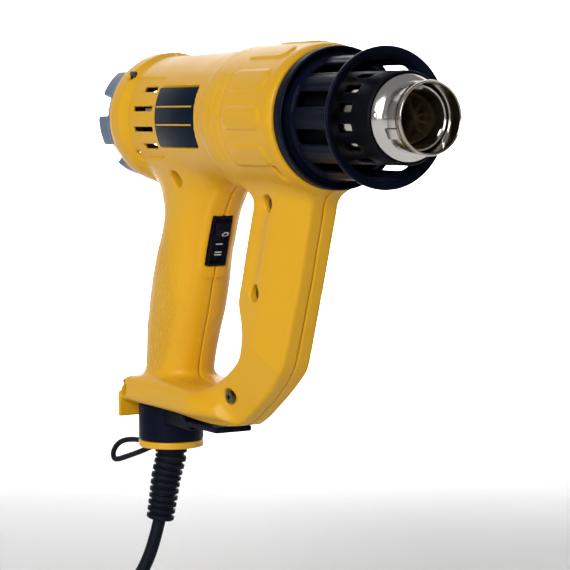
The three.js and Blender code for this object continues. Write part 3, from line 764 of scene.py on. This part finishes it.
def housing_half(name, node, side):
    """One moulded half. It is built on the tool's right, and mirrored for the left."""
    g = Grid(*HALF_GRID, HOUSING_STEP)
    x, y, z = g.x, g.y, g.z
    outside, grip = housing_outside(g)
    out, up = in_switch(x, z)
    pad = rounded(6, slab(y, -9.2, 9.2), slab(up, -20.5, 46))
    outside = smooth_union(outside, rounded(1.0, grip - 1.1, pad + 0 * out, -out - 8), 0.8)
    body = barrel_details(g, outside)
    inside = np.minimum(g.turned(BORE_PROFILE), grip + WALL)
    bow_inside = outline_field(smooth_outline(BOW_OUTLINE), x, z) + WALL
    bow_inside = np.maximum(bow_inside, beside_bow(x, y, z) + WALL)
    inside = np.minimum(inside, np.maximum(bow_inside, slab(y, -12.4, 12.4)))
    base_inside = outline_field(BASE_OUTLINE, x, z) + WALL
    inside = np.minimum(inside, np.maximum(base_inside, np.abs(y) - base_width(x) + WALL))
    shell = np.maximum(body, -inside)
    for at_x, at_z, _, _ in SCREWS:
        boss = np.sqrt((x - at_x) ** 2 + (z - at_z) ** 2) - 5.6
        shell = np.minimum(shell, np.maximum(boss, body))
    shell = housing_holes(g, shell, side < 0)
    shell = smooth_both(shell, y + 0.15, 0.5)
    points, faces = g.solid(shell)
    if side > 0:
        points = points * (1, -1, 1)
        faces = faces[:, ::-1]
    half = piece_from(name, points, faces, YELLOW, "housing", (node,))
    mark_dimples(half.data, points)


housing_half("shell_right", "housing_right", -1)
housing_half("shell_left", "housing_left", 1)


# ---------------------------------------------------------------- guard, sleeve and nozzle
def nozzle_guard():
    """The black protector: a dished rear flange, a slotted cage and a dished front disc."""
    g = RoundGrid((137.5, 189), (25, 34.5), 0.4, 240)
    x, r = g.x, g.radius
    body = g.turned([
        (138.6, 29.6), (138.6, 31.2), (143, 31.2), (143, 32.6), (144, 33.3), (149.4, 33.3), (150, 32.6),
        (149.6, 32), (147.2, 30.6), (146.4, 29.6), (148.4, 28.6), (152, 28.4), (179, 28.4),
        (182.4, 29.0), (184.8, 31.2), (185.6, 32.1), (187.4, 32.2), (187.9, 31.6), (187.2, 30.2),
        (186, 28.2), (183.6, 26.8), (180, 26.4), (146, 26.4), (143, 29.6),
    ])
    slot = rounded(1.6, slab(x, 153.2, 180.4), slab(g.from_nearest(10), -3.6, 3.6))
    body = smooth_cut(body, np.maximum(slot, 22 - r), 0.9)
    rib = rounded(1.0, slab(x, 150, 181), slab(g.from_nearest(10, 72), -2.6, 2.6), slab(r, 27, 29.1))
    body = smooth_union(body, rib, 0.8)
    bead = rounded(0.5, slab(x, 150.6, 152.6), slab(r, 27, 29.3)) + 0 * g.angle
    body = smooth_union(body, bead, 0.6)
    field_piece(g, body, "nozzle_protector", BLACK, "guard", "nozzle_guard", 42)


def heat_sleeve():
    """The black sleeve round the outlet, with a row of slots."""
    g = RoundGrid((138, 204.4), (19.3, 24.6), 0.4, 280)
    x, r = g.x, g.radius
    body = g.turned([
        (138.4, 19.9), (138.4, 24), (140.4, 24), (140.8, 21.2), (142, 21), (203, 21), (203.6, 20.5),
        (203.6, 19.9),
    ])
    slot = rounded(1.0, slab(x, 178.5, 189.5), slab(g.from_nearest(14), -1.9, 1.9))
    body = smooth_cut(body, np.maximum(slot, 18 - r), 0.5)
    field_piece(g, body, "inner_sleeve", SLEEVE_BLACK, "housing", "heat_sleeve", 42)


def turned_mesh(profile, count=160):
    """A closed ring of profile points turned about the X axis."""
    points = []
    for i in range(count):
        angle = math.tau * i / count
        for along, radius in profile:
            points.append((along, radius * math.cos(angle), radius * math.sin(angle)))
    return points, loop_faces(count, len(profile))


def joined(name, parts, material, body, replaces=(), smooth_angle=35):
    """Several closed bodies as one piece."""
    points, faces = [], []
    for part_points, part_faces in parts:
        start = len(points)
        points.extend([tuple(p) for p in part_points])
        faces.extend([tuple(int(i) + start for i in face) for face in part_faces])
    return piece_from(name, points, faces, material, body, replaces, smooth_angle)


def rounded_profile(points, radius=0.25, steps=3):
    """A profile with each corner cut by a small arc."""
    result = []
    p = np.asarray(points, float)
    for before, here, after in zip(np.roll(p, 1, 0), p, np.roll(p, -1, 0)):
        a, b = before - here, after - here
        reach = min(radius, 0.45 * np.linalg.norm(a), 0.45 * np.linalg.norm(b))
        a, b = here + a / np.linalg.norm(a) * reach, here + b / np.linalg.norm(b) * reach
        for t in np.linspace(0, 1, steps + 1):
            result.append(tuple((1 - t) ** 2 * a + 2 * t * (1 - t) * here + t * t * b))
    return result


def oriented_box(size, centre, angle, radius_at, chamfer=0.3):
    """A small chamfered block standing on a direction about the X axis: [along X, round, out]."""
    lx, lt, lr = size
    points = []
    c = chamfer
    for out, inset in ((-lr / 2, c), (-lr / 2 + c, 0), (lr / 2 - c, 0), (lr / 2, c)):
        hx, ht = lx / 2 - inset, lt / 2 - inset
        ring = [(-hx, -ht + c), (-hx + c, -ht), (hx - c, -ht), (hx, -ht + c),
                (hx, ht - c), (hx - c, ht), (-hx + c, ht), (-hx, ht - c)]
        for u, t in ring:
            rr = radius_at + out
            points.append((centre + u, rr * math.cos(angle) - t * math.sin(angle),
                           rr * math.sin(angle) + t * math.cos(angle)))
    return points, capped_faces(4, 8)


def nozzle_tube():
    """The steel outlet: a neck with a bead, a rolled shoulder and a rolled rim."""
    outer = [
        (96, 18.3), (96, 19.2), (200.6, 19.2), (202.2, 19.6), (203.6, 19.6), (204.8, 19.2), (206.4, 18),
        (207.6, 16.7), (208.6, 16.0), (210.6, 15.9), (216.6, 15.9), (218.4, 16.0), (219.4, 16.4),
        (220.6, 16.5), (221.4, 16.2), (221.5, 15.8), (221.2, 15.4), (219.6, 15.2), (209, 15.2),
        (207.6, 15.6), (205.4, 17.2), (203.2, 18.2), (201, 18.3),
    ]
    seam = oriented_box((8.4, 5.2, 0.8), 213.0, math.radians(205), 16.15, 0.25)
    dimple = oriented_box((2.2, 2.6, 1.0), 205.4, math.radians(176), 18.9, 0.45)
    joined("outlet_tube", [turned_mesh(rounded_profile(outer, 0.3), 180), seam, dimple], NOZZLE,
           "housing", ("nozzle_tube",), 30)


def nozzle_insert():
    """The inner ring in the outlet's mouth, held by three tabs."""
    ring = rounded_profile([(176, 13.6), (176, 14.4), (212, 14.4), (212, 13.6)], 0.2)
    tabs = [
        oriented_box((2.0, 4.4, 2.2), 211.0, math.radians(angle), 13.6, 0.3)
        for angle in (90, 210, 330)
    ]
    joined("outlet_insert", [turned_mesh(ring, 120), *tabs], NOZZLE, "housing", ("nozzle_insert",),
           30)


nozzle_guard()
heat_sleeve()
nozzle_tube()
nozzle_insert()


# ---------------------------------------------------------------- rear end
def rear_cover():
    """The air inlet's cover, with hollow lugs for the tool to stand on."""
    g = Grid((-41.6, -32.4, -32.4), (-18, 32.4, 32.4), 0.6)
    x, r = g.x, g.radius
    body = np.maximum(slab(x, -29, -24.3), np.maximum(r - 31.2, 15 - r))
    rim = np.maximum(slab(x, -25, -19), np.maximum(r - 29.1, 26.5 - r))
    body = np.minimum(body, rim)
    pitch = math.tau / 7
    away = (g.angle - math.pi / 2 + pitch / 2) % pitch - pitch / 2
    lug = rounded(1.2, slab(x, -41, -25), slab(away * 28.2, -7.4, 7.4), slab(r, 25.2, 30.9))
    hollow = rounded(0.8, slab(x, -45, -31), slab(away * 28.2, -5.4, 5.4), slab(r, 27.2, 29.2) + 0 * x)
    body = smooth_union(body, lug, 1.2)
    pitch /= 2
    between = (g.angle - math.pi / 2) % pitch - pitch / 2
    slit = rounded(0.8, slab(between * 20.8, -1.8, 1.8), slab(r, 17, 24.4)) + 0 * x
    body = smooth_cut(body, slit, 0.5)
    body = smooth_cut(body, hollow, 0.5)
    field_piece(g, body, "inlet_cover", SLATE, "housing", "rear_cover")


def temperature_dial():
    """The heat setting's knob: fluted, with a raised pointer."""
    g = Grid((-39.6, -13.2, -13.2), (-21.4, 13.2, 13.2), 0.35)
    x, r = g.x, g.radius
    flutes = 0.4 * np.cos(18 * g.angle) * np.clip((r - 9) / 3, 0, 1)
    knob = rounded(1.2, slab(x, -38, -29.6), r - 12.1 + flutes)
    dish = np.sqrt((x + 45.6) ** 2 + r**2) - 10.4
    knob = smooth_cut(knob, dish, 1.0)
    pointer = rounded(0.5, slab(x, -39.2, -35), slab(g.y, -0.9, 0.9), slab(g.z, 1.5, 11.2))
    stem = np.maximum(slab(x, -31, -22), r - 3)
    body = np.minimum(smooth_union(knob, pointer, 0.5), stem)
    field_piece(g, body, "heat_dial", BLACK, "dial", "temperature_dial")
    mark = oriented_box((0.3, 0.9, 7.0), -39.1, math.pi / 2, 7.0, 0.1)
    joined("heat_dial_mark", [mark], MARK_WHITE, "dial", ())


def dial_scale():
    """Raised setting ticks on the cover round the dial, longer towards hot."""
    ticks = []
    for i, degrees in enumerate(np.linspace(225, -45, 9)):
        length = 1.1 + 0.12 * i
        ticks.append(oriented_box((0.35, 0.7, length), -29.1, math.radians(degrees), 14.9 + 0.6, 0.08))
    joined("dial_scale_ticks", ticks, MARK_WHITE, "housing", ())


rear_cover()
temperature_dial()
dial_scale()

# ---------------------------------------------------------------- labels and switch
def label_plate(name, node, side):
    """A thin blank plate, curved with the barrel, with two plain lines across it."""
    barrel = 33
    low, high = math.asin(-14.3 / barrel), math.asin(15.1 / barrel)

    def strip(x0, x1, a, b, inner, outer, steps):
        points = []
        ring = rounded_profile([(x0, inner), (x1, inner), (x1, outer), (x0, outer)], 0.25, 2)
        for angle in np.linspace(a, b, steps):
            for along, radius in ring:
                points.append((along, side * radius * math.cos(angle), radius * math.sin(angle)))
        faces = capped_faces(steps, len(ring))
        return points, [face[::-1] for face in faces] if side > 0 else faces

    plate = strip(26.9, 66.7, low, high, 31.75, 32.95, 28)
    joined(name, [plate], LABEL, "housing", (node,), 40)
    lines = [
        strip(28.2, 64.6, math.asin(z / barrel) - 0.011, math.asin(z / barrel) + 0.011, 32.8, 33.05, 3)
        for z in (5.6, -3.4)
    ]
    joined(name + "_lines", lines, TRIM_YELLOW, "housing", (), 40)


def from_switch(points):
    """From the switch's own [out, across, up] to place."""
    p = np.asarray(points, float)
    c, s = math.cos(SWITCH_TILT), math.sin(SWITCH_TILT)
    x = SWITCH_X + p[:, 0] * c + p[:, 2] * s
    z = SWITCH_Z - p[:, 0] * s + p[:, 2] * c
    return np.stack([x, p[:, 1], z], 1)


def switch_case():
    """The switch's frame, with a sunk track for the slider."""
    g = Grid((-17.6, -6.0, -14.0), (1.8, 6.0, 14.0), 0.3)
    out, across, up = g.x, g.y, g.z
    body = rounded(0.5, slab(out, -17, 1.1), slab(across, -5.5, 5.5), slab(up, -13.4, 13.4))
    track = rounded(0.4, slab(out, -2.0, 6), slab(across, -4.3, 4.3), slab(up, -12.1, 12.1))
    body = smooth_cut(body, track, 0.3)
    points, faces = g.solid(body)
    piece_from("switch_body", from_switch(points), faces, SWITCH_BLACK, "housing", ("switch_case",),
               45)


def thumb_height(up):
    """How far the slider's thumb ridge stands out, at each place along it."""
    return 3.3 - 0.13 * (up - 6.6) ** 2


def switch_slider():
    """The sliding part: a plate with a ribbed thumb ridge."""
    g = Grid((-2.2, -4.6, -1.6), (4.4, 4.6, 12.6), 0.26)
    out, across, up = g.x, g.y, g.z
    plate = rounded(0.3, slab(out, -1.7, -0.3), slab(across, -4.0, 4.0), slab(up, -0.8, 11.8))
    ridge = rounded(0.5, out - thumb_height(up), -out - 1.5, slab(across, -4.0, 4.0),
                    slab(up, 2.2, 10.2))
    ribs = 0.14 * np.cos(math.tau * up / 1.3) * np.clip(out, 0, 1) * np.clip(up - 6, 0, 1)
    body = smooth_union(plate, ridge + ribs, 0.5)
    points, faces = g.solid(body)
    piece_from("switch_thumb", from_switch(points), faces, SWITCH_BLACK, "switch", ("switch_slider",),
               45)


def mark_bar(out, across, up):
    """A thin printed bar in the switch's own axes, each argument its low and high end."""
    corners = [(o, a, u) for o in out for a in across for u in up]
    faces = [(0, 1, 3, 2), (4, 6, 7, 5), (0, 4, 5, 1), (2, 3, 7, 6), (0, 2, 6, 4), (1, 5, 7, 3)]
    return from_switch(corners), faces


def switch_marks():
    """O on the slider, and I and II on the case below it."""
    count = 24
    middle, centre = 4.2, 1.6
    points = []
    for i in range(count):
        angle = math.tau * i / count
        for radius, lift in ((0.95, -0.2), (0.95, 0.06), (1.45, 0.06), (1.45, -0.2)):
            up = middle + radius * math.sin(angle)
            points.append((thumb_height(up) + lift, centre + 1.3 * radius * math.cos(angle), up))
    joined("switch_mark_off", [(from_switch(points), loop_faces(count, 4))], MARK_WHITE, "switch", (),
           40)
    track_floor = (-2.05, -1.9)
    bars = [mark_bar(track_floor, (-0.5, 3.5), (at - 0.32, at + 0.32)) for at in (-2.6, -7.0, -8.4)]
    joined("switch_marks", bars, MARK_WHITE, "housing", (), 40)


label_plate("label_right", "label_plate_right", -1)
label_plate("label_left", "label_plate_left", 1)
switch_case()
switch_slider()
switch_marks()


# ---------------------------------------------------------------- swivel, stand and cord fittings
EXIT_X = -18.5


def stand():
    """The swing-out stand: a round hub with a faceted arm to one side."""
    g = Grid((-36.4, -17.8, -170.4), (49.6, 17.8, -149.7), 0.6)
    x, y, z = g.x - EXIT_X, g.y, g.z
    r = np.sqrt(x * x + y * y)
    hub = rounded(1.0, r - 17.2, slab(z, -169.7, -150.3))
    slope = (x - 34) * 0.9 + z + 160
    arm = rounded(0.8, slab(x, 0, 42), slab(y, -10.5, 10.5), slab(z, -160, -152.2), slope - 6.5)
    toe = rounded(0.8, slab(x, 30, 67.5), slab(y, -10.5, 10.5), slab(z, -158.3, -155.2))
    body = smooth_union(hub, np.minimum(arm, toe), 1.0)
    body = smooth_cut(body, np.maximum(r - 8, slab(z, -175, -145)), 0.6)
    field_piece(g, body, "swing_stand", BLACK, "stand_arm", "stand", 42)


def turned_about_exit(name, profile, material, body, replaces, count=96):
    """A closed [height, radius] profile turned about the swivel's upright axis."""
    points, faces = turned_mesh(profile, count)
    p = np.asarray(points)
    upright = np.stack([EXIT_X + p[:, 2], p[:, 1], p[:, 0]], 1)
    piece_from(name, upright, faces, material, body, replaces, 35)


RELIEF_ROUTE = [
    (-18.5, 0, -174.2), (-18.5, -0.4, -180), (-19.9, -2.3, -190), (-21, -3.7, -202),
    (-22, -5.2, -213.5),
]


def swept(route, radii, sides=28):
    """A tube along points with a radius at each."""
    p = np.asarray(route, float)
    forward = np.gradient(p, axis=0)
    forward /= np.linalg.norm(forward, axis=1)[:, None]
    first = np.cross(forward, (0, 1, 0))
    first /= np.linalg.norm(first, axis=1)[:, None]
    second = np.cross(forward, first)
    points = []
    for at, a, b, radius in zip(p, first, second, radii):
        for k in range(sides):
            angle = math.tau * k / sides
            points.append(tuple(at + radius * (math.cos(angle) * a + math.sin(angle) * b)))
    return points, capped_faces(len(p), sides)


def strain_relief():
    """The ribbed rubber sleeve: a thin core with thick rings."""
    line = catmull(RELIEF_ROUTE, 40)
    steps = 190
    share = np.linspace(0, 1, steps)
    lengths = np.concatenate([[0], np.cumsum(np.linalg.norm(np.diff(line, axis=0), axis=1))])
    route = np.stack([np.interp(share * lengths[-1], lengths, line[:, k]) for k in range(3)], 1)
    rings = 11
    phase = (share * rings) % 1
    ridge = np.clip(np.sin(phase * math.pi) * 2.4 - 0.7, 0, 1)
    radius = (8.5 - 1.2 * share) - 1.5 * (1 - ridge)
    radius[:3] = np.array([5.5, 7.4, 8.2])
    radius[-3:] = np.array([6.6, 6.2, 5.0])
    joined("cord_sleeve", [swept(route, radius, 32)], RUBBER, "housing", ("strain_relief",),
           40)


LOOP_ROUTE = [
    (-29.5, 0, -177.3), (-39, -1, -176.2), (-52, -3, -174.6), (-66, -5.5, -177), (-73, -7, -183),
    (-70, -7.6, -187.4), (-59, -6, -184.5), (-46, -3.2, -179.9), (-40, 2.6, -176.8), (-30, 3.4, -180.6),
]


def coil_tie():
    """A rubber band round the coil's turns, its section rounded."""
    angle = -2.2
    outline = rounded_profile([(-12.0, 0.4), (12.0, 0.4), (12.0, 22.6), (-12.0, 22.6)], 3.5, 5)
    points = []
    section = [(0.45, -2.6), (0.45, 2.6), (-0.45, 2.6), (-0.45, -2.6)]
    centre = np.array([0, 11.5])
    for u, v in outline:
        away = np.array([u, v]) - centre
        away /= np.linalg.norm(away)
        for out, across in section:
            ru, rv = np.array([u, v]) + away * out
            radius = COIL_R + ru
            points.append((COIL_X + radius * math.cos(angle) - across * math.sin(angle),
                           COIL_Y + radius * math.sin(angle) + across * math.cos(angle), FLOOR + rv))
    faces = loop_faces(len(outline), len(section))
    joined("coil_band", [(points, faces)], BLACK, "housing", ("coil_tie",), 40)


PLUG = (21.0, 24.0, FLOOR + 13)


def plug():
    """The moulded plug, with finger grooves, a ribbed neck and two turned pins."""
    g = Grid((-41, -16, -13.6), (1, 16, 13.6), 0.6)
    x, y, z, r = g.x, g.y, g.z, g.radius
    shape = g.turned([
        (-40, 0), (-40, 13.4), (-38, 14.6), (-22, 15.4), (-14, 13), (-8, 7.5), (0, 5.6), (0, 0),
    ])
    shape = rounded(1.6, shape, slab(z, -12.9, 12.9) + 0 * x)
    for along in (-33, -29, -25):
        for side in (-1, 1):
            groove = rounded(0.8, slab(x, along - 1, along + 1), np.abs(z - side * 13.6) - 1.6,
                             np.abs(y) - 8)
            shape = smooth_cut(shape, groove, 0.8)
    for along in (-9, -6, -3):
        radius = 8.4 - 0.25 * (along + 3)
        shape = smooth_cut(shape, np.sqrt((x - along) ** 2 + (r - radius) ** 2) - 1.2, 0.8)
    points, faces = g.solid(shape)
    piece_from("plug_shell", points + np.array(PLUG), faces, RUBBER, "housing", ("plug_body",))
    profile = [(-59, 0.01), (-59, 1.4), (-58.4, 2.1), (-57.2, 2.4), (-40.3, 2.4), (-40.3, 0.01)]
    pin_points, pin_faces = turned_mesh(profile, 32)
    for node, side in (("plug_pin_left", 1), ("plug_pin_right", -1)):
        centre = np.array(PLUG) + np.array([0, 9.5 * side, 0])
        piece_from(node + "_turned", np.array(pin_points) + centre, pin_faces, PIN_STEEL, "housing",
                   (node,), 40)


stand()
disc_profile = rounded_profile([(-173.5, 8), (-173.5, 17.2), (-170, 17.2), (-170, 8)], 0.7, 4)
turned_about_exit("swivel_disc", disc_profile, TRIM_YELLOW, "housing", ("retaining_disc",))
strain_relief()
curve_from("wall_loop", catmull(LOOP_ROUTE, 4), 1.5, RUBBER, "housing", 4, ("hanging_loop",))
coil_tie()
plug()
power_cord()
tuple(place(CORD_ROUTE[0])[0])


# ---------------------------------------------------------------- carried-over CAD nodes
CAD_MATERIALS = [
    (WHITE, "dial_control fan board_capacitor"),
    (DARK_STEEL, "motor thermal_cutout board_heat_sink grip_top_screw bow_upper_screw bow_middle_screw"),
    (DARK_STEEL, "base_front_screw base_rear_screw barrel_rear_screw"),
    (BLACK, "motor_mount front_bulkhead cord_clamp swivel_neck temperature_dial nozzle_guard stand"),
    (BLACK, "coil_tie"),
    (MICA, "air_duct heater_tube heater_core"),
    (COPPER, "heating_coil core_wire_left core_wire_right"),
    (BOARD, "circuit_board"),
    (YELLOW, "housing_right housing_left"),
    (SLATE, "rear_cover"),
    (SLEEVE_BLACK, "heat_sleeve"),
    (NOZZLE, "nozzle_tube nozzle_insert"),
    (LABEL, "label_plate_right label_plate_left"),
    (SWITCH_BLACK, "switch_case switch_slider"),
    (TRIM_YELLOW, "retaining_disc"),
    (RUBBER, "strain_relief hanging_loop plug_body"),
    (PIN_STEEL, "plug_pin_left plug_pin_right"),
]
for material, nodes in CAD_MATERIALS:
    for node in nodes.split():
        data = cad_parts[node].data
        data.materials.clear()
        data.materials.append(material)
